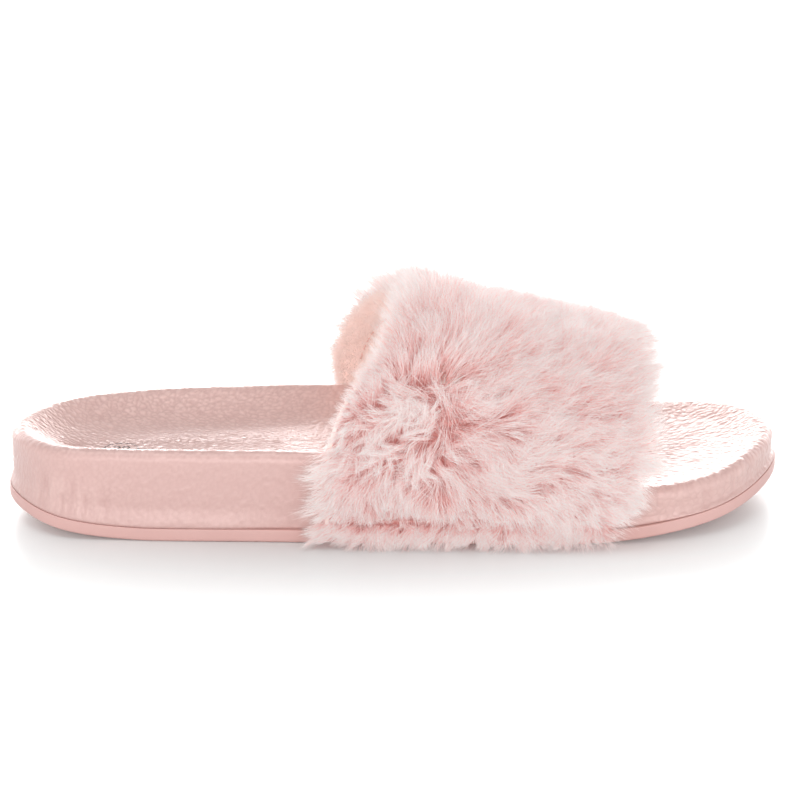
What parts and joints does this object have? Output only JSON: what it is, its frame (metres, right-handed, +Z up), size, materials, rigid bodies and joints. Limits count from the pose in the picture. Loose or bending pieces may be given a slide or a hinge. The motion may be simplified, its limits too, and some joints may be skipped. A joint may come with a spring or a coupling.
{
  "type": "slipper",
  "caption": "Open-backed house slipper: dished cushioned footbed on a thin outsole, with one broad padded strap of long-pile faux fur over the forefoot.",
  "frame": {"origin": "middle of the footprint on the floor: the centre of the part's box, at its lowest point", "axes": "+X from heel to toe, +Y towards the big-toe side of a right foot, +Z up from the floor"},
  "size_m": [0.2576, 0.1172, 0.0784],
  "materials": {
    "outsole_rubber": "smooth satin",
    "filler_board": "matt fibre board",
    "core_foam": "matt closed-cell foam",
    "padding_foam": "matt open-cell foam",
    "cover_leatherette": "satin pearl, pebble grain",
    "lining_plush": "short soft plush",
    "woven_tape": "plain weave",
    "fur_pile": "long soft pile, paler at the tips",
    "sewing_thread": "twisted thread"
  },
  "bodies": {
    "root": {"outsole": "outsole_rubber", "bottom_filler": "filler_board", "midsole_core": "core_foam", "footbed_foam": "padding_foam", "footbed_cover": "cover_leatherette", "strap_lining": "lining_plush", "strap_padding": "padding_foam", "strap_reinforcement": "woven_tape", "strap_fur": "fur_pile", "rear_edge_stitching": "sewing_thread", "front_edge_stitching": "sewing_thread", "outer_side_stitching": "sewing_thread", "inner_side_stitching": "sewing_thread"}
  },
  "joints": []
}
